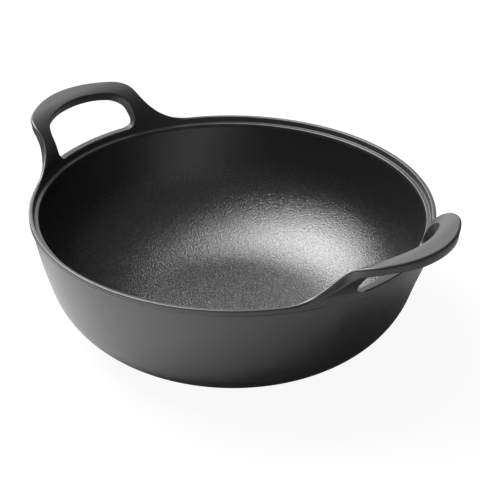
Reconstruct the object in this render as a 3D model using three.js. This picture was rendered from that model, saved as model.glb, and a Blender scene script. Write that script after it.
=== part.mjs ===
// Cast iron wok: a flat-based bowl with a lid ledge inside its rim, two loop handles that curl out of
// the rim, and a layer of enamel on the cooking surface.
// Millimetres, +Z up. The base stands on Z = 0, the bowl turns about Z, and the handles lie on the X axis.
import * as THREE from 'three';

const degrees = (angle) => THREE.MathUtils.degToRad(angle);

// Bowl
const rimRadius = 122.5; // outside of the lip
const rimHeight = 82; // base to the top of the lip
const baseRadius = 61; // where the corner curve meets the flat base
const wallThickness = 3.7; // iron, without the enamel
const wallTopLean = degrees(9); // lean from upright just under the lip
const wallFootLean = degrees(18); // lean where the wall turns into the corner curve
const footRingWidth = 12; // flat ring that the wok stands on
const footRecess = 0.8; // hollow inside that ring

// Lip and lid ledge
const lipBand = 3.1; // height of the lip's outer band
const lipProud = 1.1; // how far the band stands out past the wall
const lipWidth = 2.4; // across the top of the lip
const lipRound = 0.8; // both top edges of the lip
const riserDrop = 2.4; // top of the lip to the ledge
const riserRun = 1.1; // how far the riser slopes inwards over that drop
const ledgeFall = 1.2; // fall of the ledge towards the bowl

// Enamel on the cooking surface
const enamelThickness = 0.5;
const seatGap = 0.3; // clearance between pieces that sit on each other

// Handle, flattened: the ear is an arch with a hole, drawn on a sheet that is then curled outwards
const earSetback = 0.3; // inner edge of the lip to the ear's front face
const earThickness = 6.4;
const thickenRise = 15; // the ear leaves the lip at the lip's own width and is full by this height
const frontRound = 1.1; // both edges of the front face
const outerBackRound = 2.4; // back edge round the outside of the ear
const holeBackRound = 0.6; // back edge round the hole
const roundShare = 0.36; // most of a width or a thickness that one rounded edge may take
const curlRadius = 26.1; // bend of the front face
const curlTurn = degrees(82.5); // upright at the rim, almost level at the grip
const earTaper = 0.029; // share of its width that the ear loses between the rim and the top of the hole
const holeHalfWidth = 33.9;
const holeRise = 32; // along the sheet, rim to the top of the hole
const holeCornerRadius = 13;
const holeFootRadius = 7.5; // fillet at the foot of each post, inside the hole
const holeFootLevel = 1.6; // where that fillet starts, over the rim
const postWidth = 9.2;
const gripWidth = 14.3;
const earCornerRadius = 16;
const crownRadius = 78; // arch of the grip, drawn flat
const fairingHeight = 23; // outer fairing from post to lip
const fairingReach = 26.5;

// Fineness of the facets
const roundSegments = 60;
const wallSteps = 3;
const cornerSteps = 6;
const lipSteps = 2;
const acrossSteps = 6;
const postSteps = 11;
const earCornerSteps = 5;
const crownSteps = 5;

// Bowl wall: an arc from the lip down to the corner, and a corner arc that ends level with the base
const wallTop = new THREE.Vector2(rimRadius - lipProud, rimHeight - lipBand - lipProud);
const wallArc = solveWallArcs();

// Radii of the two arcs, from the height and the width that they have to cover between them
function solveWallArcs() {
  const width = wallTop.x - baseRadius;
  const drop = wallTop.y;
  const a = Math.cos(wallTopLean) - Math.cos(wallFootLean);
  const b = Math.cos(wallFootLean);
  const c = Math.sin(wallFootLean) - Math.sin(wallTopLean);
  const d = 1 - Math.sin(wallFootLean);
  const determinant = a * d - b * c;
  const upper = (d * width - b * drop) / determinant;
  const corner = (a * drop - c * width) / determinant;
  const upperCentre = new THREE.Vector2(
    wallTop.x - upper * Math.cos(wallTopLean),
    wallTop.y + upper * Math.sin(wallTopLean),
  );
  return { upper, corner, upperCentre, cornerCentre: new THREE.Vector2(baseRadius, corner) };
}

// Points of the wall moved inwards by an offset, from the edge of the flat base up to the height given
function wallPoints(offset, topHeight) {
  const points = [];
  const addArc = (centre, radius, from, to, steps) => {
    for (let i = 0; i <= steps; i += 1) {
      const lean = from + ((to - from) * i) / steps;
      points.push(new THREE.Vector2(centre.x + radius * Math.cos(lean), centre.y - radius * Math.sin(lean)));
    }
  };
  const upper = wallArc.upper - offset;
  const topLean = Math.asin((wallArc.upperCentre.y - topHeight) / upper);
  addArc(wallArc.cornerCentre, wallArc.corner - offset, Math.PI / 2, wallFootLean, cornerSteps);
  points.pop();
  addArc(wallArc.upperCentre, upper, wallFootLean, topLean, wallSteps);
  return points;
}

// Quarter turn from one direction to the next about a centre, for the rounded edges of the lip
function roundedEdge(centre, radius, from) {
  return Array.from({ length: lipSteps + 1 }, (_, i) => {
    const angle = from + (Math.PI / 2) * (i / lipSteps);
    return new THREE.Vector2(centre.x + radius * Math.cos(angle), centre.y + radius * Math.sin(angle));
  });
}

function revolve(profile) {
  return new THREE.LatheGeometry(profile, roundSegments).rotateX(Math.PI / 2);
}

const ledgeInnerHeight = rimHeight - riserDrop - ledgeFall;

function bowlGeometry() {
  const innerEdge = rimRadius - lipWidth;
  const outerRound = new THREE.Vector2(rimRadius - lipRound, rimHeight - lipRound);
  const innerRound = new THREE.Vector2(innerEdge + lipRound, rimHeight - lipRound);
  const ringInner = baseRadius - footRingWidth;
  const inside = wallPoints(wallThickness, ledgeInnerHeight).reverse();
  return revolve([
    new THREE.Vector2(0, footRecess),
    new THREE.Vector2(ringInner - footRecess, footRecess),
    new THREE.Vector2(ringInner, 0),
    ...wallPoints(0, wallTop.y),
    new THREE.Vector2(rimRadius, rimHeight - lipBand),
    ...roundedEdge(outerRound, lipRound, 0),
    ...roundedEdge(innerRound, lipRound, Math.PI / 2),
    new THREE.Vector2(innerEdge - riserRun, rimHeight - riserDrop),
    ...inside,
    new THREE.Vector2(0, wallThickness),
  ]);
}

// A shell that lines the iron from the ledge down to the floor
function enamelGeometry() {
  const outerOffset = wallThickness + seatGap;
  const innerOffset = outerOffset + enamelThickness;
  return revolve([
    new THREE.Vector2(0, outerOffset),
    ...wallPoints(outerOffset, ledgeInnerHeight),
    ...wallPoints(innerOffset, ledgeInnerHeight).reverse(),
    new THREE.Vector2(0, innerOffset),
  ]);
}

// One edge of the flattened ear, on its right half: an upright side that spreads where it meets the rim,
// a corner, and a crown. Points are (across, along), with along measured up the sheet from the rim.
class ArchEdge {
  constructor({ halfWidth, rise, cornerRadius, footLevel, footHeight, footReach }) {
    Object.assign(this, { halfWidth, rise, cornerRadius, footLevel, footHeight, footReach });
    this.crownCentre = rise - crownRadius;
    const across = halfWidth - cornerRadius;
    const along = Math.sqrt((crownRadius - cornerRadius) ** 2 - across ** 2);
    this.sideTop = this.crownCentre + along;
    this.turn = Math.atan2(along, across);
  }

  // Share of the foot's reach that is used at a height: a quarter of an ellipse
  spread(along) {
    const depth = THREE.MathUtils.clamp(1 - (along - this.footLevel) / this.footHeight, 0, 1);
    return 1 - Math.sqrt(1 - depth ** 2);
  }

  side(along) {
    return new THREE.Vector2(this.halfWidth + this.footReach * this.spread(along), along);
  }

  corner(share) {
    const angle = this.turn * share;
    const centre = new THREE.Vector2(this.halfWidth - this.cornerRadius, this.sideTop);
    return new THREE.Vector2(Math.cos(angle), Math.sin(angle)).multiplyScalar(this.cornerRadius).add(centre);
  }

  crown(share) {
    const angle = this.turn + (Math.PI / 2 - this.turn) * share;
    const point = new THREE.Vector2(Math.cos(angle), Math.sin(angle)).multiplyScalar(crownRadius);
    point.y += this.crownCentre;
    return point;
  }
}

const holeEdge = new ArchEdge({
  halfWidth: holeHalfWidth,
  rise: holeRise,
  cornerRadius: holeCornerRadius,
  footLevel: holeFootLevel,
  footHeight: holeFootRadius,
  footReach: -holeFootRadius,
});
const earEdge = new ArchEdge({
  halfWidth: holeHalfWidth + postWidth,
  rise: holeRise + gripWidth,
  cornerRadius: earCornerRadius,
  footLevel: 0,
  footHeight: fairingHeight,
  footReach: fairingReach,
});

// Cross-sections of the right half of the ear, from its foot on the lip to the middle of the grip
function halfStations() {
  const stations = [];
  for (let i = 0; i <= postSteps; i += 1) {
    const share = (i / postSteps) ** 2;
    const inner = holeEdge.side(THREE.MathUtils.lerp(seatGap, holeEdge.sideTop, share));
    const outer = earEdge.side(THREE.MathUtils.lerp(seatGap, earEdge.sideTop, share));
    stations.push({ inner, outer });
  }
  for (let i = 1; i < earCornerSteps; i += 1) {
    const share = i / earCornerSteps;
    stations.push({ inner: holeEdge.corner(share), outer: earEdge.corner(share) });
  }
  for (let i = 0; i <= crownSteps; i += 1) {
    const share = i / crownSteps;
    stations.push({ inner: holeEdge.crown(share), outer: earEdge.crown(share) });
  }
  return stations;
}

// The curled sheet: radius, height over the rim and lean of the ear's front face at a length up the sheet
const earFootRadius = rimRadius - lipWidth + earSetback;

function sheetAt(along) {
  const lean = Math.min(along / curlRadius, curlTurn);
  const straight = along - lean * curlRadius;
  return {
    radius: earFootRadius + curlRadius * (1 - Math.cos(lean)) + straight * Math.sin(lean),
    rise: curlRadius * Math.sin(lean) + straight * Math.cos(lean),
    lean,
  };
}

// A point of the flattened ear, carried on to the curled sheet and moved in from its front face by a depth
function curl(across, along, depth) {
  const sheet = sheetAt(along);
  const narrowed = across * (1 - (earTaper * along) / holeRise);
  const angle = Math.asin(narrowed / sheet.radius);
  const radius = sheet.radius + depth * Math.cos(sheet.lean);
  const z = rimHeight + sheet.rise - depth * Math.sin(sheet.lean);
  return new THREE.Vector3(radius * Math.cos(angle), radius * Math.sin(angle), z);
}

// Thickness of the ear: flush with the lip's outer face at the rim, and full once it is clear of it
function thicknessAt(along) {
  const share = THREE.MathUtils.smoothstep(along, 0, thickenRise);
  return THREE.MathUtils.lerp(rimRadius - earFootRadius, earThickness, share);
}

// Ring of points round one cross-section: front face, outer side, back face, inner side, with rounded edges
function sectionRing({ inner, outer }) {
  const width = inner.distanceTo(outer);
  const diagonal = 1 - Math.SQRT1_2;
  const inset = (round) => Math.min(round, width * roundShare);
  const lift = (round, thickness) => Math.min(round, thickness * roundShare);
  const place = (distance, depthOf) => {
    const point = inner.clone().lerp(outer, distance / width);
    return curl(point.x, point.y, depthOf(thicknessAt(point.y)));
  };
  const face = (from, to, depthOf) => Array.from(
    { length: acrossSteps + 1 },
    (_, i) => place(THREE.MathUtils.lerp(from, to, i / acrossSteps), depthOf),
  );
  const side = (backRound, distanceOf) => [
    place(distanceOf(inset(frontRound) * diagonal), (thickness) => lift(frontRound, thickness) * diagonal),
    place(distanceOf(0), (thickness) => lift(frontRound, thickness)),
    place(distanceOf(0), (thickness) => thickness - lift(backRound, thickness)),
    place(
      distanceOf(inset(backRound) * diagonal),
      (thickness) => thickness - lift(backRound, thickness) * diagonal,
    ),
  ];
  return [
    ...face(inset(frontRound), width - inset(frontRound), () => 0),
    ...side(outerBackRound, (distance) => width - distance),
    ...face(width - inset(outerBackRound), inset(holeBackRound), (thickness) => thickness),
    ...side(holeBackRound, (distance) => distance).reverse(),
  ];
}

// Closed skin over a row of rings with equal counts of points, with flat ends
function loft(rings) {
  const count = rings[0].length;
  const positions = rings.flat().flatMap((point) => point.toArray());
  const indices = [];
  for (let ring = 0; ring < rings.length - 1; ring += 1) {
    for (let i = 0; i < count; i += 1) {
      const a = ring * count + i;
      const b = ring * count + ((i + 1) % count);
      indices.push(a, b + count, b, a, a + count, b + count);
    }
  }
  const last = (rings.length - 1) * count;
  for (let i = 1; i < count - 1; i += 1) {
    indices.push(0, i, i + 1, last, last + i + 1, last + i);
  }
  const geometry = new THREE.BufferGeometry();
  geometry.setAttribute('position', new THREE.Float32BufferAttribute(positions, 3));
  geometry.setIndex(indices);
  geometry.computeVertexNormals();
  return geometry;
}

// One ear on +X: its cross-sections from foot to foot, joined by a skin
function handleGeometry() {
  const right = halfStations();
  const flip = (point) => new THREE.Vector2(-point.x, point.y);
  const mirrored = right.slice(0, -1).reverse();
  const left = mirrored.map(({ inner, outer }) => ({ inner: flip(inner), outer: flip(outer) }));
  return loft([...right, ...left].map(sectionRing));
}

// Finishes
const ironFinish = { color: 0x1d1d1f, roughness: 0.42, metalness: 0.1 };
const enamelFinish = { color: 0x141415, roughness: 0.55, metalness: 0 };

function piece(name, geometry, finish) {
  const mesh = new THREE.Mesh(geometry, new THREE.MeshStandardMaterial(finish));
  mesh.name = name;
  return mesh;
}

const wok = new THREE.Group();
wok.add(piece('bowl', bowlGeometry(), ironFinish));
wok.add(piece('interior_enamel', enamelGeometry(), enamelFinish));
const rightHandle = piece('right_handle', handleGeometry(), ironFinish);
const leftHandle = piece('left_handle', handleGeometry(), ironFinish);
leftHandle.rotation.z = Math.PI;
wok.add(rightHandle, leftHandle);

export default wok;
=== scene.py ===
"""Cast iron wok: a bowl with a lid ledge, two curled loop handles and a stippled cooking surface."""

import logging
import math
from dataclasses import dataclass, field, replace
from enum import Enum
from typing import Any

import bpy
import numpy as np
from mathutils import Matrix, Vector
from numpy.typing import NDArray


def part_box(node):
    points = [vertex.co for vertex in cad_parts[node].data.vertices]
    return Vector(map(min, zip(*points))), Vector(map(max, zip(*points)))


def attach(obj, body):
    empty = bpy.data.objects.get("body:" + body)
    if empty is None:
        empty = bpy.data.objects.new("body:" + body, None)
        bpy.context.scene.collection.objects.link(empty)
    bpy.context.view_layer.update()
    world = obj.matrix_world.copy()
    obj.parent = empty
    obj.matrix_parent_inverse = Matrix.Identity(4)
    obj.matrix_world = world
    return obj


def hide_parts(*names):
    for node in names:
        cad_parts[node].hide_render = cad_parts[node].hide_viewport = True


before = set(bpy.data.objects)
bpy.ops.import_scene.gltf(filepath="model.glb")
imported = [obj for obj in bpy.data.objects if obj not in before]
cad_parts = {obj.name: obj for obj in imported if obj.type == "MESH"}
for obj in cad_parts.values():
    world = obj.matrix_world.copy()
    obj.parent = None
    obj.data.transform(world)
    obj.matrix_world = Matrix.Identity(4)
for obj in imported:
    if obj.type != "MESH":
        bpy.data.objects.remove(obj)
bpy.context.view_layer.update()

log = logging.getLogger("wok")

Array = NDArray[np.float64]
Colour = tuple[float, float, float, float]

MM = 0.001
QUARTER = math.pi / 2
WHITE: Colour = (1.0, 1.0, 1.0, 1.0)

# Radius inside which a turned piece is closed by a fan of triangles
HUB = 4 * MM

# Middle of a noise pattern that runs from 0 to 1
NOISE_MIDDLE = 0.5

# Colour sockets of a Mix node, by number because its other sockets share their names
MIX_FIRST = 6
MIX_SECOND = 7
MIX_RESULT = 2


class Slot(Enum):
    """Material slots of the record."""

    IRON = "satin_iron"
    ENAMEL = "cooking_enamel"


class Side(Enum):
    """Which handle, by its turn about the bowl's axis."""

    RIGHT = 0.0
    LEFT = math.pi


# Shapes

def smoothstep(value: Array, low: float, high: float) -> Array:
    """Rises from 0 at low to 1 at high along 3s^2 - 2s^3.

    Args:
        value: where to read the curve.
        low: value at which it leaves 0.
        high: value at which it reaches 1.

    Returns:
        The height of the curve at each value.
    """
    share = np.clip((value - low) / (high - low), 0.0, 1.0)
    return share * share * (3.0 - 2.0 * share)


def eased(count: int) -> Array:
    """Shares from 0 to 1 that crowd together at both ends: (1 - cos(pi s)) / 2."""
    return 0.5 - 0.5 * np.cos(np.linspace(0.0, math.pi, count))


def full_turn(count: int) -> Array:
    """Angles spaced evenly round a circle, starting at 0."""
    return np.linspace(0.0, 2 * math.pi, count, endpoint=False)


def rounded_path(corners: Array, arc_steps: int = 6, straight_steps: int = 6) -> Array:
    """Line through corner points, with an arc in the place of each inner corner.

    An arc of radius p at a corner that turns by t starts and ends p tan(t / 2) away from the corner.

    Args:
        corners: rows of radius, height and rounding; the first and the last row are plain ends.
        arc_steps: points along each arc, less one.
        straight_steps: points along each straight stretch.

    Returns:
        Rows of radius and height along the line.
    """
    points, rounds = corners[:, :2], corners[:, 2]
    runs = np.diff(points, axis=0)
    runs /= np.linalg.norm(runs, axis=1, keepdims=True)
    stretches: list[Array] = []
    start = points[0]
    for before, after, corner, radius in zip(runs[:-1], runs[1:], points[1:-1], rounds[1:-1]):
        turn = math.atan2(before[0] * after[1] - before[1] * after[0], float(before @ after))
        reach = radius * math.tan(abs(turn) / 2)
        first = corner - before * reach
        inward = math.copysign(1.0, turn) * np.array([-before[1], before[0]])
        angles = turn * np.linspace(0.0, 1.0, arc_steps + 1)[:, None]
        arc = first + radius * (inward * (1.0 - np.cos(angles)) + before * np.sin(np.abs(angles)))
        stretches += [start + (first - start) * eased(straight_steps)[:-1, None], arc[:-1]]
        start = arc[-1]
    stretches.append(start + (points[-1] - start) * eased(straight_steps)[:, None])
    return np.concatenate(stretches)


def on_arc(centre: tuple[float, float], radius: float, angle: Array) -> Array:
    """Points round a centre: centre + radius (cos angle, sin angle)."""
    return np.array(centre) + radius * np.stack([np.cos(angle), np.sin(angle)], axis=-1)


def turned(radius: Array, height: Array) -> Array:
    """Rings about Z: at the turn t a point lies at (radius cos t, radius sin t, height).

    Args:
        radius: radius at each place on the profile and each turn.
        height: height at each place on the profile and each turn.

    Returns:
        Points, indexed by place on the profile, turn and axis.
    """
    turn = full_turn(radius.shape[1])
    return np.stack([radius * np.cos(turn), radius * np.sin(turn), height], axis=-1)


def added(name: str, data: bpy.types.ID) -> bpy.types.Object:
    """Makes an object of a mesh, a lamp or a camera and links it to the scene.

    Args:
        name: name of the object.
        data: what the object shows.

    Returns:
        The object, at the origin.
    """
    thing = bpy.data.objects.new(name, data)
    bpy.context.scene.collection.objects.link(thing)
    return thing


def closed_skin(name: str, rings: Array, start: Array, end: Array) -> bpy.types.Object:
    """Smooth mesh over a stack of closed rings, with a fan of triangles to a point at each end.

    Point (i, j) of the grid joins (i, j + 1), (i + 1, j + 1) and (i + 1, j), and j wraps round.

    Args:
        name: name of the piece.
        rings: points, indexed by ring, place on the ring and axis.
        start: point that closes the first ring.
        end: point that closes the last ring.

    Returns:
        The piece, linked to the scene.
    """
    rows, columns = rings.shape[:2]
    here = np.arange(rows * columns).reshape(rows, columns)
    beside = np.roll(here, -1, axis=1)
    quads = np.stack([here[:-1], beside[:-1], beside[1:], here[1:]], axis=-1).reshape(-1, 4)
    first = np.full(columns, rows * columns)
    start_fan = np.stack([first, beside[0], here[0]], axis=-1)
    end_fan = np.stack([first + 1, here[-1], beside[-1]], axis=-1)
    points = np.concatenate([rings.reshape(-1, 3), start[None], end[None]])
    mesh = bpy.data.meshes.new(name)
    mesh.from_pydata(points.tolist(), [], quads.tolist() + start_fan.tolist() + end_fan.tolist())
    mesh.polygons.foreach_set("use_smooth", np.ones(len(mesh.polygons), dtype=bool))
    mesh.update()
    return added(name, mesh)


def settle(piece: bpy.types.Object, node: str, material: bpy.types.Material) -> None:
    """Fixes a piece to the part in the place of a CAD node and gives it its finish.

    Args:
        piece: the new piece.
        node: CAD node that it stands for.
        material: the finish.
    """
    piece.data.materials.append(material)
    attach(piece, "root")
    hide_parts(node)


# Shader maths

class Value:
    """A number that changes over a surface: a shader socket with arithmetic."""

    def __init__(self, graph: "Graph", socket: bpy.types.NodeSocket) -> None:
        """Keeps the socket and the graph that it belongs to."""
        self.graph = graph
        self.socket = socket

    def combine(self, operation: str, first: Any, second: Any) -> "Value":
        """Adds a Math node.

        Args:
            operation: Blender's name of the operation.
            first: left operand, a Value or a number.
            second: right operand, a Value or a number.

        Returns:
            The node's result.
        """
        settings = {"operation": operation}
        return self.graph.value("ShaderNodeMath", "Value", settings, {0: first, 1: second})

    def __add__(self, other: Any) -> "Value":
        """Sum."""
        return self.combine("ADD", self, other)

    __radd__ = __add__

    def __sub__(self, other: Any) -> "Value":
        """Difference."""
        return self.combine("SUBTRACT", self, other)

    def __rsub__(self, other: Any) -> "Value":
        """Difference from a number."""
        return self.combine("SUBTRACT", other, self)

    def __mul__(self, other: Any) -> "Value":
        """Product."""
        return self.combine("MULTIPLY", self, other)

    __rmul__ = __mul__

    def larger(self, other: Any) -> "Value":
        """The larger of this value and another."""
        return self.combine("MAXIMUM", self, other)

    def rise(self, low: float, high: float, start: float, end: float) -> "Value":
        """Smooth step from start, at low and below, to end, at high and above.

        Args:
            low: value at which the step begins.
            high: value at which it ends.
            start: result before the step.
            end: result after it.

        Returns:
            The stepped value.
        """
        settings = {"interpolation_type": "SMOOTHSTEP"}
        inputs = {"Value": self, "From Min": low, "From Max": high, "To Min": start, "To Max": end}
        return self.graph.value("ShaderNodeMapRange", "Result", settings, inputs)


@dataclass(frozen=True)
class Pattern:
    """A soft random pattern: the width of one patch in metres, and how many finer layers it has."""

    size: float
    detail: float


class Graph:
    """Node tree of a material or of the world."""

    def __init__(self, tree: bpy.types.NodeTree) -> None:
        """Empties the tree."""
        self.tree = tree
        tree.nodes.clear()

    def node(self, kind: str, settings: dict[str, Any], inputs: dict[Any, Any]) -> bpy.types.Node:
        """Adds any node.

        Args:
            kind: Blender's name of the node type.
            settings: properties of the node, which are set first.
            inputs: number, colour, socket or Value for each named or numbered input.

        Returns:
            The node.
        """
        node = self.tree.nodes.new(kind)
        for name, setting in settings.items():
            setattr(node, name, setting)
        for key, given in inputs.items():
            source = given.socket if isinstance(given, Value) else given
            if isinstance(source, bpy.types.NodeSocket):
                self.tree.links.new(source, node.inputs[key])
            else:
                node.inputs[key].default_value = source
        return node

    def value(self, kind: str, output: str, settings: dict[str, Any], inputs: dict[Any, Any]) -> Value:
        """Adds any node and wraps one of its outputs.

        Args:
            kind: Blender's name of the node type.
            output: name of the output.
            settings: properties of the node.
            inputs: what goes into it.

        Returns:
            The output, ready for arithmetic.
        """
        return Value(self, self.node(kind, settings, inputs).outputs[output])

    def place(self) -> bpy.types.NodeSocket:
        """Place on the piece, in metres, in the part's own frame."""
        return self.node("ShaderNodeTexCoord", {}, {}).outputs["Object"]

    def axes(self, vector: bpy.types.NodeSocket) -> tuple[Value, Value, Value]:
        """The X, Y and Z of a vector."""
        parts = self.node("ShaderNodeSeparateXYZ", {}, {"Vector": vector}).outputs
        return Value(self, parts["X"]), Value(self, parts["Y"]), Value(self, parts["Z"])

    def ray(self, kind: str) -> Value:
        """1 for rays of one kind, such as Is Camera Ray, and 0 for all others."""
        return self.value("ShaderNodeLightPath", kind, {}, {})

    def noise(self, place: bpy.types.NodeSocket, pattern: Pattern) -> Value:
        """A soft random pattern, from 0 to 1, read at a place on the piece."""
        inputs = {"Vector": place, "Scale": 1.0 / pattern.size, "Detail": pattern.detail}
        return self.value("ShaderNodeTexNoise", "Fac", {}, inputs)

    def blend(self, share: Value, first: Colour, second: Colour) -> bpy.types.NodeSocket:
        """The colour that lies at a share of the way from one colour to another."""
        inputs = {"Factor": share, MIX_FIRST: first, MIX_SECOND: second}
        return self.node("ShaderNodeMix", {"data_type": "RGBA"}, inputs).outputs[MIX_RESULT]

    def bump(self, relief: Value) -> bpy.types.NodeSocket:
        """The surface's normal, bent by a relief whose height is in metres."""
        inputs = {"Strength": 1.0, "Distance": 1.0, "Height": relief}
        return self.node("ShaderNodeBump", {}, inputs).outputs["Normal"]

    def surface(self, shader: bpy.types.Node) -> None:
        """Shows a shader as the material's surface."""
        self.node("ShaderNodeOutputMaterial", {}, {"Surface": shader.outputs[0]})


def new_material(name: str) -> tuple[bpy.types.Material, Graph]:
    """Makes an empty node material.

    Args:
        name: name of the material.

    Returns:
        The material and its graph.
    """
    material = bpy.data.materials.new(name)
    material.use_nodes = True
    return material, Graph(material.node_tree)


# Finishes

@dataclass(frozen=True)
class SatinIron:
    """Satin black coat over cast iron: near black, even, with the faint grain of the casting under it."""

    dark: Colour = (0.011, 0.011, 0.012, 1.0)
    pale: Colour = (0.018, 0.018, 0.019, 1.0)
    clouds: Pattern = Pattern(30 * MM, 3.0)
    cloud_low: float = 0.3
    cloud_high: float = 0.7
    grain: Pattern = Pattern(0.9 * MM, 2.0)
    grain_height: float = 0.012 * MM
    swell: Pattern = Pattern(9 * MM, 1.0)
    swell_height: float = 0.02 * MM
    roughness: float = 0.38
    roughness_spread: float = 0.06
    gloss: float = 0.9

    def material(self) -> bpy.types.Material:
        """Makes the coat, with colour clouds, a fine grain and a slow swell of the cast surface.

        The relief is grain plus swell, each times its height. The roughness follows the grain.

        Returns:
            The material.
        """
        material, graph = new_material(Slot.IRON.value)
        place = graph.place()
        clouds = graph.noise(place, self.clouds).rise(self.cloud_low, self.cloud_high, 0.0, 1.0)
        grain = graph.noise(place, self.grain)
        swell = graph.noise(place, self.swell)
        inputs = {
            "Base Color": graph.blend(clouds, self.dark, self.pale),
            "Roughness": self.roughness + (grain - NOISE_MIDDLE) * self.roughness_spread,
            "Specular IOR Level": self.gloss,
            "Normal": graph.bump(grain * self.grain_height + swell * self.swell_height),
        }
        graph.surface(graph.node("ShaderNodeBsdfPrincipled", {}, inputs))
        return material


@dataclass(frozen=True)
class CookingEnamel:
    """Matt black enamel: stippled on the floor and the lower wall, smooth towards the ledge."""

    dark: Colour = (0.006, 0.006, 0.007, 1.0)
    # paler colour painted on the stipple's crests: painted glints
    pale: Colour = (0.05, 0.05, 0.051, 1.0)
    stipple: Pattern = Pattern(1.0 * MM, 2.0)
    stipple_height: float = 0.36 * MM
    crest_low: float = 0.4
    crest_high: float = 0.7
    flecks: Pattern = Pattern(0.55 * MM, 1.0)
    fleck_share: float = 0.5
    smooth_from: float = 24 * MM
    smooth_to: float = 58 * MM
    smooth_share: float = 0.06
    roughness: float = 0.27
    roughness_spread: float = 0.2
    refraction: float = 1.7
    gloss: float = 0.8

    def material(self) -> bpy.types.Material:
        """Makes the enamel, whose stipple dies away up the wall and whose crests are painted paler as
        painted glints.

        The relief is stipple plus a share of the flecks, times a smooth step of the height above the
        base. The same step fades out the painted glints on the crests and the flecks' roughness.

        Returns:
            The material.
        """
        material, graph = new_material(Slot.ENAMEL.value)
        place = graph.place()
        height = graph.axes(place)[2]
        coarse = height.rise(self.smooth_from, self.smooth_to, 1.0, self.smooth_share)
        stipple = graph.noise(place, self.stipple)
        flecks = graph.noise(place, self.flecks)
        # Painted glints: the stipple's crests are coloured paler, and the colour fades out up the wall
        painted_glint_crests = stipple.rise(self.crest_low, self.crest_high, 0.0, 1.0)
        inputs = {
            "Base Color": graph.blend(painted_glint_crests * coarse, self.dark, self.pale),
            "Roughness": self.roughness + (flecks - NOISE_MIDDLE) * coarse * self.roughness_spread,
            "IOR": self.refraction,
            "Specular IOR Level": self.gloss,
            "Normal": graph.bump((stipple + flecks * self.fleck_share) * coarse * self.stipple_height),
        }
        graph.surface(graph.node("ShaderNodeBsdfPrincipled", {}, inputs))
        return material


# Bowl

@dataclass
class Wall:
    """Curve of the bowl's wall: a long arc under the lip and a corner arc down to the flat base."""

    rim_radius: float
    rim_height: float
    base_radius: float = 61 * MM
    top_lean: float = math.radians(9)  # of the wall from upright, under the lip
    foot_lean: float = math.radians(18)  # where the upper arc meets the corner arc
    lip_band: float = 3.1 * MM  # height of the lip's outer face
    lip_proud: float = 1.1 * MM  # how far that face stands out from the wall
    top: Array = field(init=False)
    upper: float = field(init=False)
    corner: float = field(init=False)
    upper_centre: Array = field(init=False)
    corner_centre: Array = field(init=False)

    def __post_init__(self) -> None:
        """Solves the two radii from the width and the height that the arcs cover between them.

        An arc covers its radius times the change in cos(lean) of the width, and its radius times the
        change in sin(lean) of the height.
        """
        below_lip = self.rim_height - self.lip_band - self.lip_proud
        self.top = np.array([self.rim_radius - self.lip_proud, below_lip])
        cover = np.array(
            [
                [math.cos(self.top_lean) - math.cos(self.foot_lean), math.cos(self.foot_lean)],
                [math.sin(self.foot_lean) - math.sin(self.top_lean), 1 - math.sin(self.foot_lean)],
            ]
        )
        span = np.array([self.top[0] - self.base_radius, self.top[1]])
        self.upper, self.corner = np.linalg.solve(cover, span)
        lean = np.array([math.cos(self.top_lean), -math.sin(self.top_lean)])
        self.upper_centre = self.top - self.upper * lean
        self.corner_centre = np.array([self.base_radius, self.corner])

    def radius_at(self, height: Array | float) -> Array:
        """Outside radius of the upper arc at a height."""
        fall = self.upper_centre[1] - np.asarray(height)
        return self.upper_centre[0] + np.sqrt(np.maximum(self.upper**2 - fall**2, 0.0))

    def point(self, offset: float, height: float) -> Array:
        """Radius and height on the upper arc, moved inwards by an offset."""
        fall = self.upper_centre[1] - height
        return np.array([self.upper_centre[0] + math.sqrt((self.upper - offset) ** 2 - fall**2), height])

    def points(self, offset: float, top_height: float, steps: int) -> Array:
        """The wall from the edge of the flat base up to a height, moved inwards by an offset.

        A point is the arc's centre plus its radius along (cos lean, -sin lean).

        Args:
            offset: distance in from the outside.
            top_height: where the upper arc ends.
            steps: points along each arc.

        Returns:
            Rows of radius and height.
        """
        upper = self.upper - offset
        top_lean = math.asin((self.upper_centre[1] - top_height) / upper)
        low = np.linspace(QUARTER, self.foot_lean, steps)[:-1, None]
        high = np.linspace(self.foot_lean, top_lean, steps)[:, None]
        along = [np.concatenate([np.cos(lean), -np.sin(lean)], axis=1) for lean in (low, high)]
        return np.concatenate(
            [self.corner_centre + (self.corner - offset) * along[0], self.upper_centre + upper * along[1]]
        )


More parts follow.
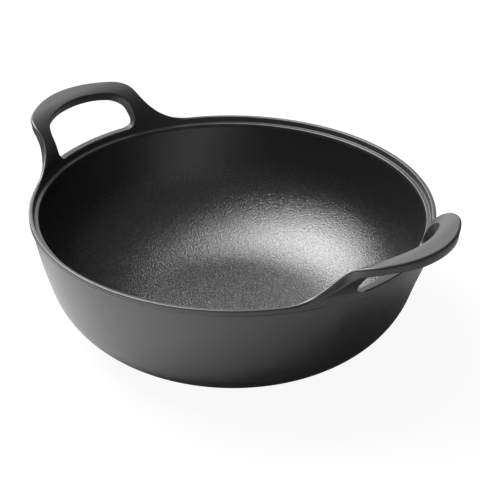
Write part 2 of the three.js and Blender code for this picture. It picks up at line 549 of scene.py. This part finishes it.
@dataclass
class Bowl:
    """The casting: base, wall, lip, ledge for a lid, and a broad sill under each finger gap."""

    wall: Wall
    wall_thickness: float = 3.7 * MM
    coat_depth: float = 4.5 * MM  # from the wall's outside to the cooking surface
    foot_ring_width: float = 12 * MM
    foot_recess: float = 0.8 * MM
    foot_round: float = 0.4 * MM
    lip_width: float = 2.4 * MM
    lip_round: float = 0.8 * MM
    band_round: float = 0.6 * MM
    band_run: float = 1.4 * MM  # of the wall under the lip, drawn together with it
    riser_drop: float = 3.6 * MM  # from the lip's top down to the ledge
    riser_run: float = 0.9 * MM
    ledge_fall: float = 0.2 * MM
    ledge_corner: float = 0.4 * MM
    ledge_round: float = 0.8 * MM
    skirt_drop: float = 2.2 * MM  # iron that shows below the ledge's inner edge
    fairing_from: float = 70 * MM  # across the handle, where the wall starts to sweep out
    fairing_full: float = 45 * MM
    fairing_drop: float = 36 * MM
    sill_rise: float = 0.3 * MM
    sill_reach: float = 2.4 * MM  # how much broader the lip is
    sill_half: float = 36 * MM  # across the handle, where the sill is still full
    sill_fade: float = 54 * MM  # and where it has gone
    turns: int = 288
    wall_steps: int = 40
    hidden_steps: int = 12

    @property
    def band(self) -> float:
        """Height of the lower edge of the lip's outer face."""
        return self.wall.rim_height - self.wall.lip_band

    @property
    def ledge(self) -> float:
        """Height of the ledge at the foot of its riser."""
        return self.wall.rim_height - self.riser_drop

    def profile(self) -> Array:
        """Outline from the middle of the underside, up the wall, over the lip and down the hidden inside.

        Returns:
            Rows of radius and height.
        """
        wall = self.wall
        ring_inner = wall.base_radius - self.foot_ring_width
        low_wall = wall.top[1] - self.band_run
        inner = wall.rim_radius - self.lip_width
        edge = wall.point(self.coat_depth, self.ledge - self.ledge_fall)
        skirt = wall.point(self.coat_depth, edge[1] - self.skirt_drop)
        base = np.array(
            [
                [HUB, self.foot_recess, 0],
                [ring_inner - self.foot_recess, self.foot_recess, self.foot_round],
                [ring_inner, 0, self.foot_round],
                [wall.base_radius, 0, 0],
            ]
        )
        lip = np.array(
            [
                [*wall.point(0, low_wall), 0],
                [*wall.top, self.band_round],
                [wall.rim_radius, self.band, self.band_round],
                [wall.rim_radius, wall.rim_height, self.lip_round],
                [inner, wall.rim_height, self.lip_round],
                [inner - self.riser_run, self.ledge, self.ledge_corner],
                [*edge, self.ledge_round],
                [*skirt, 0],
            ]
        )
        stretches = [
            rounded_path(base)[:-1],
            wall.points(0, low_wall, self.wall_steps)[:-1],
            rounded_path(lip),
            wall.points(self.wall_thickness, skirt[1], self.hidden_steps)[::-1],
            np.array([[HUB, self.wall_thickness]]),
        ]
        return np.concatenate(stretches)

    def sill_share(self, across: Array) -> Array:
        """How much of the sill there is at a distance across the handle."""
        return smoothstep(-np.abs(across), -self.sill_fade, -self.sill_half)

    def growth(self, radius: Array, height: Array) -> tuple[Array, Array]:
        """How far the outside grows under the middle of a handle.

        A smooth step of the height sweeps the wall out to the lip's outer face. Below the finger gap
        the same step carries it on by the sill's reach, and the lip's flat top is stretched to follow.

        Args:
            radius: radii of the profile.
            height: heights of the profile.

        Returns:
            The fairing and the broadening, as lengths along the radius.
        """
        wall = self.wall
        sweep = smoothstep(height, self.band - self.fairing_drop, self.band)
        swept = wall.radius_at(height) + (wall.rim_radius - wall.radius_at(self.band)) * sweep
        outside = radius > wall.radius_at(height) - self.wall_thickness / 2
        under_lip = outside & (height < self.band) & (height > self.band - self.fairing_drop)
        fairing = np.where(under_lip, np.maximum(swept - radius, 0.0), 0.0)
        flat_inner = wall.rim_radius - self.lip_width + self.lip_round
        flat_share = np.clip((radius - flat_inner) / (self.lip_width - 2 * self.lip_round), 0.0, 1.0)
        broadening = self.sill_reach * sweep * np.where(height > self.band, flat_share, outside)
        return fairing, broadening

    def rings(self) -> Array:
        """The profile turned about Z, swept out under each handle and broadened to a sill there.

        The sill is also lifted, by nothing at the ledge and in full from the lip's rounding up. Smooth
        steps of the distance across the handle fade the fairing and the sill in.

        Returns:
            Points, indexed by place on the profile, turn and axis.
        """
        radius, height = self.profile().T
        fairing, broadening = self.growth(radius, height)
        lift_share = np.clip((height - self.ledge) / (self.riser_drop - self.lip_round), 0.0, 1.0)
        across = self.wall.rim_radius * np.abs(np.sin(full_turn(self.turns)))
        fairing_share = smoothstep(-across, -self.fairing_from, -self.fairing_full)
        sill_share = self.sill_share(across)
        full = radius[:, None] + np.outer(fairing, fairing_share) + np.outer(broadening, sill_share)
        level = height[:, None] + np.outer(lift_share * self.sill_rise, sill_share)
        return turned(full, level)

    def build(self, finish: SatinIron) -> bpy.types.Object:
        """Makes the casting and dresses it.

        Args:
            finish: coat of the iron.

        Returns:
            The piece.
        """
        start = np.array([0.0, 0.0, self.foot_recess])
        end = np.array([0.0, 0.0, self.wall_thickness])
        piece = closed_skin("bowl_casting", self.rings(), start, end)
        settle(piece, "bowl", finish.material())
        return piece


@dataclass
class InteriorEnamel:
    """Coat on the cooking surface: a shell with a wide corner curve, tucked in behind the ledge."""

    bowl: Bowl
    thickness: float = 0.5 * MM
    sink: float = 0.02 * MM  # how far the face lies behind the ledge's skirt
    tuck: float = 1.0 * MM  # how far it runs up behind that skirt
    floor_radius: float = 54 * MM
    turns: int = 240
    floor_steps: int = 16
    back_steps: int = 12
    face_steps: int = 44

    @property
    def face(self) -> float:
        """Depth of the face, in from the outside of the bowl."""
        return self.bowl.coat_depth - self.sink

    @property
    def back(self) -> float:
        """Depth of the back, in from the outside of the bowl."""
        return self.face - self.thickness

    def section(self) -> Array:
        """Outline of the shell: out along its back and up the wall, then down its face and back in.

        The back follows the bowl's wall. The face follows a wall with a smaller base and the same lip,
        so the shell is thicker in the corner curve.

        Returns:
            Rows of radius and height.
        """
        bowl, wall = self.bowl, self.bowl.wall
        lining = replace(wall, base_radius=self.floor_radius)
        top = wall.rim_height - bowl.riser_drop - bowl.ledge_fall - bowl.skirt_drop + self.tuck
        spread = np.linspace(HUB, self.floor_radius, self.floor_steps)[:-1]
        floor_back = np.stack([spread, np.full_like(spread, self.back)], axis=-1)
        floor_face = np.stack([spread, np.full_like(spread, self.face)], axis=-1)
        wall_back = wall.points(self.back, top, self.back_steps)
        wall_face = lining.points(self.face, top, self.face_steps)
        return np.concatenate([floor_back, wall_back, wall_face[::-1], floor_face[::-1]])

    def build(self, finish: CookingEnamel) -> bpy.types.Object:
        """Turns the shell's section about Z and dresses it.

        Args:
            finish: the enamel.

        Returns:
            The piece.
        """
        radius, height = np.repeat(self.section().T[..., None], self.turns, axis=-1)
        start = np.array([0.0, 0.0, self.back])
        end = np.array([0.0, 0.0, self.face])
        piece = closed_skin("interior_coat", turned(radius, height), start, end)
        settle(piece, "interior_enamel", finish.material())
        return piece


# Handles

@dataclass
class ArchEdge:
    """One edge of the flattened handle, on its right half: foot, side, corner and crown.

    Points are (across, along): the distance from the handle's middle, and the length up the sheet.
    """

    half_width: float
    rise: float
    corner_radius: float
    foot_height: float
    foot_reach: float  # how far the foot spreads outwards; negative where it fills the hole's corner
    foot_level: float
    crown_radius: float
    foot_top: float = field(init=False)
    crown_centre: float = field(init=False)
    side_top: float = field(init=False)
    turn: float = field(init=False)

    def __post_init__(self) -> None:
        """Finds where the foot ends, and where the corner arc meets the side and the crown arc."""
        self.foot_top = self.foot_level + self.foot_height
        self.crown_centre = self.rise - self.crown_radius
        across = self.half_width - self.corner_radius
        along = math.sqrt((self.crown_radius - self.corner_radius) ** 2 - across**2)
        self.side_top = self.crown_centre + along
        self.turn = math.atan2(along, across)

    def foot(self, turn: Array) -> Array:
        """Quarter of an ellipse, from level at turn 0 to the upright side at a quarter turn."""
        across = self.half_width + self.foot_reach * (1.0 - np.sin(turn))
        return np.stack([across, self.foot_level + self.foot_height * (1.0 - np.cos(turn))], axis=-1)

    def side(self, share: Array) -> Array:
        """Upright stretch from the foot to the corner."""
        along = self.foot_top + (self.side_top - self.foot_top) * share
        return np.stack([np.full_like(share, self.half_width), along], axis=-1)

    def corner(self, share: Array) -> Array:
        """Arc from the side to the crown."""
        centre = (self.half_width - self.corner_radius, self.side_top)
        return on_arc(centre, self.corner_radius, self.turn * share)

    def crown(self, share: Array) -> Array:
        """Arc from the corner to the middle of the grip."""
        angle = self.turn + (QUARTER - self.turn) * share
        return on_arc((0.0, self.crown_centre), self.crown_radius, angle)

    def arch(self, upright: Array, corner: Array, crown: Array) -> Array:
        """Side, corner and crown in a row, each at its own shares."""
        return np.concatenate([self.side(upright), self.corner(corner), self.crown(crown)])


@dataclass
class LoopHandle:
    """An ear that is drawn flat as an arch with a hole, and curled outwards from the rim."""

    bowl: Bowl
    thickness: float = 6.4 * MM
    post_thickness: float = 5.6 * MM
    thicken_rise: float = 15 * MM  # length in which the ear grows from the lip's width to full
    front_outer_round: float = 1.4 * MM
    front_inner_round: float = 1.1 * MM
    back_outer_round: float = 2.4 * MM
    back_inner_round: float = 0.6 * MM
    round_share: float = 0.36  # most of a width or a thickness that one rounding may take
    setback: float = 0.3 * MM  # of the front face from the lip's inner edge
    setback_rise: float = 8 * MM
    proud: float = 0.04 * MM  # of the riser and the lip that the ear covers
    curl_radius: float = 26.09 * MM
    curl_turn: float = math.radians(82.5)
    taper: float = 0.029  # share of its width that the ear loses by the top of the hole
    hole_half_width: float = 34.2 * MM
    hole_rise: float = 32 * MM
    hole_corner_radius: float = 13 * MM
    hole_foot_radius: float = 7.5 * MM
    hole_crown_radius: float = 78 * MM
    hole_draft: float = 2.6 * MM  # of the back edge into the hole
    ear_draft: float = 1.2 * MM  # of the back edge in from the outside
    draft_rise: float = 8 * MM
    post_from: float = 12 * MM  # across, where the grip starts to turn into a post
    post_full: float = 38 * MM
    post_width: float = 9.6 * MM
    grip_width: float = 14.3 * MM
    ear_corner_radius: float = 13.5 * MM
    ear_crown_radius: float = 88 * MM
    fairing_height: float = 25 * MM
    fairing_reach: float = 24.8 * MM
    bend_reach: float = 6.6 * MM  # of a section's control point, round the foot of the hole
    bend_drop: float = 1 * MM
    face_steps: int = 12
    edge_steps: int = 6
    tail_steps: int = 70
    drop_steps: int = 9
    fillet_steps: int = 22
    side_steps: int = 14
    corner_steps: int = 26
    crown_steps: int = 40
    swing_limit: float = 0.98  # share of a quarter turn that the search for the tail's end covers
    swing_steps: int = 800
    hole: ArchEdge = field(init=False)
    ear: ArchEdge = field(init=False)

    def __post_init__(self) -> None:
        """Draws the two edges of the flattened ear."""
        self.hole = ArchEdge(
            half_width=self.hole_half_width,
            rise=self.hole_rise,
            corner_radius=self.hole_corner_radius,
            foot_height=self.hole_foot_radius,
            foot_reach=-self.hole_foot_radius,
            foot_level=self.bowl.sill_rise,
            crown_radius=self.hole_crown_radius,
        )
        self.ear = ArchEdge(
            half_width=self.hole_half_width + self.post_width,
            rise=self.hole_rise + self.grip_width,
            corner_radius=self.ear_corner_radius,
            foot_height=self.fairing_height,
            foot_reach=self.fairing_reach,
            foot_level=0.0,
            crown_radius=self.ear_crown_radius,
        )

    def below_foot(self, turn: Array) -> Array:
        """Where lines square to the ear's foot edge reach the level of the ledge.

        Args:
            turn: places on the foot edge.

        Returns:
            Rows of across and along.
        """
        edge = self.ear.foot(turn)
        slope = self.fairing_height * np.tan(turn) / self.fairing_reach
        across = edge[:, 0] - (edge[:, 1] + self.bowl.riser_drop) * slope
        return np.stack([across, np.full_like(across, -self.bowl.riser_drop)], axis=-1)

    def swing_turn(self, across: float) -> float:
        """Turn on the ear's foot edge from which the square line meets the ledge at a distance across."""
        trial = np.linspace(0.0, self.swing_limit * QUARTER, self.swing_steps)
        return float(np.interp(-across, -self.below_foot(trial)[:, 0], trial))

    def stations(self) -> tuple[Array, Array, Array]:
        """Inner ends, control points and outer ends of the ear's cross-sections, from tail to tail.

        In the tail a section runs square from the outer edge down to the ledge. It then swings round the
        foot of the hole and follows the hole's edge to the middle of the grip. Sections are straight,
        with the control point midway, but at the foot of the hole they bend so as to leave it clear.

        Returns:
            Rows of across and along for each of the three.
        """
        hole_foot = self.hole.foot(np.zeros(1))[0]
        swing = self.swing_turn(hole_foot[0])
        tail = np.linspace(0.0, swing, self.tail_steps)
        drop = np.linspace(-self.bowl.riser_drop, self.bowl.sill_rise, self.drop_steps)[1:-1]
        fillet = self.hole.foot(np.linspace(0.0, QUARTER, self.fillet_steps))
        climb = np.concatenate([np.stack([np.full_like(drop, hole_foot[0]), drop], axis=-1), fillet])
        swung = np.linspace(swing, QUARTER, len(climb) + 1)[1:]
        counts = (self.side_steps, self.corner_steps, self.crown_steps)
        shares = [np.linspace(0.0, 1.0, count)[1:] for count in counts]
        inner = np.concatenate([self.below_foot(tail), climb, self.hole.arch(*shares)])
        outer = np.concatenate([self.ear.foot(tail), self.ear.foot(swung), self.ear.arch(*shares)])
        place = np.arange(len(inner)) - len(tail)
        bend = np.interp(place, [-1, len(drop), len(climb)], [0.0, 1.0, 0.0])[:, None]
        midway = (inner + outer) / 2
        control = midway + bend * (inner + np.array([self.bend_reach, -self.bend_drop]) - midway)
        mirror = np.array([-1.0, 1.0])
        whole = [np.concatenate([half, half[-2::-1] * mirror]) for half in (inner, control, outer)]
        return whole[0], whole[1], whole[2]

    def front(self, along: Array) -> tuple[Array, Array, Array]:
        """Where the front face lies at a length up the sheet.

        Below the rim the face follows the riser. Above it the lean grows with length until the curl
        is done.

        Args:
            along: length up the sheet from the rim.

        Returns:
            Radius, height over the rim, and lean from upright.
        """
        bowl = self.bowl
        up = np.maximum(along, 0.0)
        lean = np.minimum(up / self.curl_radius, self.curl_turn)
        straight = up - lean * self.curl_radius
        sunk = np.clip((-along - bowl.lip_round) / (bowl.riser_drop - bowl.lip_round), 0.0, 1.0)
        foot = bowl.wall.rim_radius - bowl.lip_width - self.proud - bowl.riser_run * sunk
        foot = foot + self.setback * smoothstep(along, 0.0, self.setback_rise)
        radius = foot + self.curl_radius * (1.0 - np.cos(lean)) + straight * np.sin(lean)
        rise = self.curl_radius * np.sin(lean) + straight * np.cos(lean) + np.minimum(along, 0.0)
        return radius, rise, lean

    def post_share(self, across: Array) -> Array:
        """0 in the middle of the grip, 1 in the posts."""
        return smoothstep(np.abs(across), self.post_from, self.post_full)

    def draft(self, edge: Array, most: float) -> Array:
        """How far an edge is moved at the back: most, times smooth steps of across and along."""
        raised = smoothstep(edge[:, 1], self.bowl.sill_rise, self.draft_rise)
        return most * self.post_share(edge[:, 0]) * raised

    def depth_at(self, across: Array, along: Array, radius: Array) -> Array:
        """Thickness: flush with the lip's outer face at the rim, and full once the ear is clear of it.

        Args:
            across: distance from the handle's middle.
            along: length up the sheet.
            radius: radius of the front face.

        Returns:
            The thickness at each point.
        """
        foot = np.where(along < 0.0, radius, np.min(radius[along >= 0.0]))
        sill = self.bowl.sill_reach * self.bowl.sill_share(across)
        lip = self.bowl.wall.rim_radius + self.proud - foot + sill
        full = self.thickness + (self.post_thickness - self.thickness) * self.post_share(across)
        return lip + (full - lip) * smoothstep(along, 0.0, self.thicken_rise)

    def section(self) -> tuple[Array, Array, Array, Array]:
        """Ring round a cross-section: front face, outer side, back face and inner side.

        Returns:
            Shares of the width and of the thickness at each point of the ring, and how far each rounding
            (front outer, back outer, back inner, front inner) moves it along the width and the thickness.
        """
        face = eased(self.face_steps)[1:-1]
        turn = np.linspace(0.0, QUARTER, self.edge_steps + 1)
        near, far, none = 1.0 - np.sin(turn), 1.0 - np.cos(turn), np.zeros_like(turn)
        level, back = np.zeros_like(face), face[::-1]
        width = np.concatenate([face, none + 1.0, none + 1.0, back, none, none])
        depth = np.concatenate([level, none, none + 1.0, level + 1.0, none + 1.0, none])
        inset = np.stack(
            [
                np.concatenate([-face, -near, none, level, none, none]),
                np.concatenate([level, none, -far, -back, none, none]),
                np.concatenate([level, none, none, 1.0 - back, near, none]),
                np.concatenate([1.0 - face, none, none, level, none, far]),
            ]
        )
        lift = np.stack(
            [
                np.concatenate([level, far, none, level, none, none]),
                np.concatenate([level, none, -near, level, none, none]),
                np.concatenate([level, none, none, level, -far, none]),
                np.concatenate([level, none, none, level, none, near]),
            ]
        )
        return width, depth, inset, lift

    def rings(self, side: Side) -> Array:
        """Cross-sections carried on to the curled sheet.

        A section at share s runs through (1 - s)^2 inner + 2 s (1 - s) control + s^2 outer, and the
        drafts move its back edges. The ear narrows by the taper on its way up to the grip. A point at
        depth d lies at radius r + d cos(lean) and height z - d sin(lean), at the angle whose sine is
        across / r.

        Args:
            side: which handle.

        Returns:
            Points, indexed by section, place on the section and axis.
        """
        inner, control, outer = self.stations()
        inner_run = 2.0 * np.linalg.norm(control - inner, axis=1)
        outer_run = 2.0 * np.linalg.norm(outer - control, axis=1)
        runs = np.stack([outer_run, outer_run, inner_run, inner_run], axis=-1)
        width, depth, inset, lift = self.section()
        rounds = np.array(
            [self.front_outer_round, self.back_outer_round, self.back_inner_round, self.front_inner_round]
        )
        share = width + np.minimum(rounds / runs, self.round_share) @ inset
        share = share - np.outer(self.draft(inner, self.hole_draft) / inner_run, depth * (1.0 - width))
        share = share - np.outer(self.draft(outer, self.ear_draft) / outer_run, depth * width)
        share = share[..., None]
        flat = (1.0 - share) ** 2 * inner[:, None] + 2.0 * share * (1.0 - share) * control[:, None]
        flat = flat + share**2 * outer[:, None]
        along = flat[..., 1]
        across = flat[..., 0] * (1.0 - self.taper * np.maximum(along, 0.0) / self.hole_rise)
        radius, rise, lean = self.front(along)
        full = self.depth_at(across, along, radius)
        edge_rounds = np.minimum(rounds, full[..., None] * self.round_share)
        deep = depth * full + (edge_rounds * lift.T).sum(axis=-1)
        angle = np.arcsin(across / radius) + side.value
        reach = radius + deep * np.cos(lean)
        height = self.bowl.wall.rim_height + rise - deep * np.sin(lean)
        return np.stack([reach * np.cos(angle), reach * np.sin(angle), height], axis=-1)

    def build(self, side: Side, finish: SatinIron) -> bpy.types.Object:
        """Makes one handle and dresses it.

        Args:
            side: which handle.
            finish: coat of the iron.

        Returns:
            The piece.
        """
        name = side.name.lower()
        rings = self.rings(side)[:, ::-1]
        piece = closed_skin(f"{name}_loop_handle", rings, rings[0].mean(axis=0), rings[-1].mean(axis=0))
        settle(piece, f"{name}_handle", finish.material())
        return piece


# Studio

@dataclass(frozen=True)
class ViewPoint:
    """Camera: where it stands round the bowl, and where its axis passes the middle of the rim."""

    azimuth: float = math.radians(40.98)
    elevation: float = math.radians(30.0)
    distance: float = 933.3 * MM
    aim_right: float = 4.66 * MM
    aim_up: float = -22.91 * MM
    roll: float = math.radians(0.63)
    focal_share: float = 3.2166  # focal length, in widths of the sensor
    sensor: float = 36.0
    nearest: float = 0.01
    farthest: float = 50.0

    def axes(self) -> tuple[Vector, Vector, Vector]:
        """Right, up and forward of the level camera, in the part's frame.

        Returns:
            Three unit vectors.
        """
        turn, tilt = self.azimuth, self.elevation
        right = Vector((math.cos(turn), math.sin(turn), 0.0))
        ahead = Vector((-math.sin(turn), math.cos(turn), 0.0))
        above = Vector((0.0, 0.0, 1.0))
        forward = ahead * math.cos(tilt) - above * math.sin(tilt)
        return right, ahead * math.sin(tilt) + above * math.cos(tilt), forward

    def build(self, rim_height: float) -> None:
        """Makes the camera and sets it as the scene's own.

        Args:
            rim_height: height of the rim's middle, which the camera is aimed by.
        """
        right, up, forward = self.axes()
        optics = bpy.data.cameras.new("view")
        optics.sensor_width = self.sensor
        optics.lens = self.focal_share * self.sensor
        optics.clip_start = self.nearest
        optics.clip_end = self.farthest
        camera = added("view", optics)
        rim = Vector((0.0, 0.0, rim_height))
        place = rim + right * self.aim_right + up * self.aim_up - forward * self.distance
        rolled_right = right * math.cos(self.roll) + up * math.sin(self.roll)
        rolled_up = up * math.cos(self.roll) - right * math.sin(self.roll)
        turned_axes = Matrix((rolled_right, rolled_up, -forward)).transposed().to_4x4()
        camera.matrix_world = Matrix.Translation(place) @ turned_axes
        bpy.context.scene.camera = camera


@dataclass(frozen=True)
class Softbox:
    """A square lamp that looks at the bowl."""

    name: str
    toward: tuple[float, float, float]  # from the bowl to the lamp
    distance: float
    size: float
    power: float

    def build(self, target: Vector) -> None:
        """Places the lamp in its direction from the target and points it there.

        Args:
            target: the point that it looks at.
        """
        lamp = bpy.data.lights.new(self.name, "AREA")
        lamp.shape = "SQUARE"
        lamp.size = self.size
        lamp.energy = self.power
        softbox = added(self.name, lamp)
        direction = Vector(self.toward).normalized()
        softbox.location = target + direction * self.distance
        softbox.rotation_mode = "QUATERNION"
        softbox.rotation_quaternion = (-direction).to_track_quat("-Z", "Y")
        softbox.visible_camera = False


@dataclass
class Studio:
    """White floor and backdrop, with the light behind the bowl and to its left, dim surroundings, and
    painted shade on the floor to the right and far side.
    """

    bowl: Bowl
    floor_size: float = 6.0
    pale_floor: float = 0.95
    # tone of the painted shade at the floor's right, which only gloss and matt rays see
    painted_shade_floor: float = 0.52
    painted_shade_from: float = 0.0  # along X, where the floor's painted shade starts
    painted_shade_to: float = 250 * MM
    shade_from: float = 40 * MM  # away from the camera, where more painted shade starts to darken the floor
    shade_to: float = 150 * MM
    shade_share: float = 0.15
    shadow_share: float = 0.07  # how much of the matt floor, with its shadow, the camera sees
    bright: float = 1.6
    dim: float = 0.14
    sky: float = 0.1
    glow_east: float = -0.9  # direction of the bright side of the backdrop
    glow_north: float = 0.42
    glow_from: float = 0.48
    glow_full: float = 0.92
    key: Softbox = Softbox("key", toward=(-0.49, -0.14, 0.84), distance=1.3, size=1.15, power=40.0)
    window: Softbox = Softbox("window", toward=(-0.93, 0.31, 0.18), distance=1.3, size=0.6, power=4.0)

    def floor(self) -> None:
        """Lays a plain floor that is white to the camera and still takes the bowl's shadow.

        For all other rays its tone falls along X from pale into a painted shade, and darkens again with
        painted shade with the distance away from the camera, read as Y - X.
        """
        half = self.floor_size / 2
        corners = [(-half, -half, 0.0), (half, -half, 0.0), (half, half, 0.0), (-half, half, 0.0)]
        mesh = bpy.data.meshes.new("floor")
        mesh.from_pydata(corners, [], [(0, 1, 2, 3)])
        floor = added("floor", mesh)
        material, graph = new_material("floor")
        camera_ray = graph.ray("Is Camera Ray")
        east, north, _ = graph.axes(graph.place())
        # Painted shade: the floor's tone, seen by all but camera rays, darkens towards +X and away from
        # the camera
        tone = east.rise(self.painted_shade_from, self.painted_shade_to, self.pale_floor, self.painted_shade_floor)
        tone = tone * (north - east).rise(self.shade_from, self.shade_to, 1.0, self.shade_share)
        matt = graph.node("ShaderNodeBsdfDiffuse", {}, {"Color": tone.larger(camera_ray)})
        white = graph.node("ShaderNodeEmission", {}, {"Color": WHITE})
        inputs = {0: camera_ray * (1.0 - self.shadow_share), 1: matt.outputs[0], 2: white.outputs[0]}
        graph.surface(graph.node("ShaderNodeMixShader", {}, inputs))
        mesh.materials.append(material)

    def world(self) -> None:
        """Hangs a backdrop that is white to the camera, even and dim to matt surfaces, and bright behind.

        What gloss shows of it rises from dim to bright along a smooth step of the ray's direction.
        """
        world = bpy.data.worlds.new("studio")
        world.use_nodes = True
        graph = Graph(world.node_tree)
        camera_ray = graph.ray("Is Camera Ray")
        glossy_ray = graph.ray("Is Glossy Ray")
        direction = graph.node("ShaderNodeTexCoord", {}, {}).outputs["Generated"]
        east, north, _ = graph.axes(direction)
        along_glow = north * self.glow_north + east * self.glow_east
        glow = along_glow.rise(self.glow_from, self.glow_full, self.dim, self.bright)
        strength = (glow * glossy_ray + (1.0 - glossy_ray) * self.sky).larger(camera_ray)
        white = graph.node("ShaderNodeBackground", {}, {"Color": WHITE, "Strength": strength})
        graph.node("ShaderNodeOutputWorld", {}, {"Surface": white.outputs[0]})
        bpy.context.scene.world = world

    def lamps(self) -> None:
        """Hangs the key over the bowl at its left, and a weak window low behind it."""
        target = Vector((0.0, 0.0, self.bowl.wall.rim_height / 2))
        for softbox in (self.key, self.window):
            softbox.build(target)

    def build(self) -> None:
        """Sets up the floor, the backdrop and the lamps."""
        self.floor()
        self.world()
        self.lamps()


def main() -> None:
    """Builds the wok, reports each piece, and sets up its studio."""
    logging.basicConfig(level=logging.INFO, format="%(name)s: %(message)s")
    bpy.context.scene.view_settings.view_transform = "Standard"
    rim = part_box("bowl")[1]
    bowl = Bowl(Wall(rim_radius=rim.y, rim_height=rim.z))
    handle = LoopHandle(bowl)
    iron = SatinIron()
    pieces = [bowl.build(iron), InteriorEnamel(bowl).build(CookingEnamel())]
    pieces += [handle.build(side, iron) for side in Side]
    for piece in pieces:
        log.info("%s: %d faces", piece.name, len(piece.data.polygons))
    Studio(bowl).build()
    ViewPoint().build(bowl.wall.rim_height)


if __name__ == "__main__":
    main()
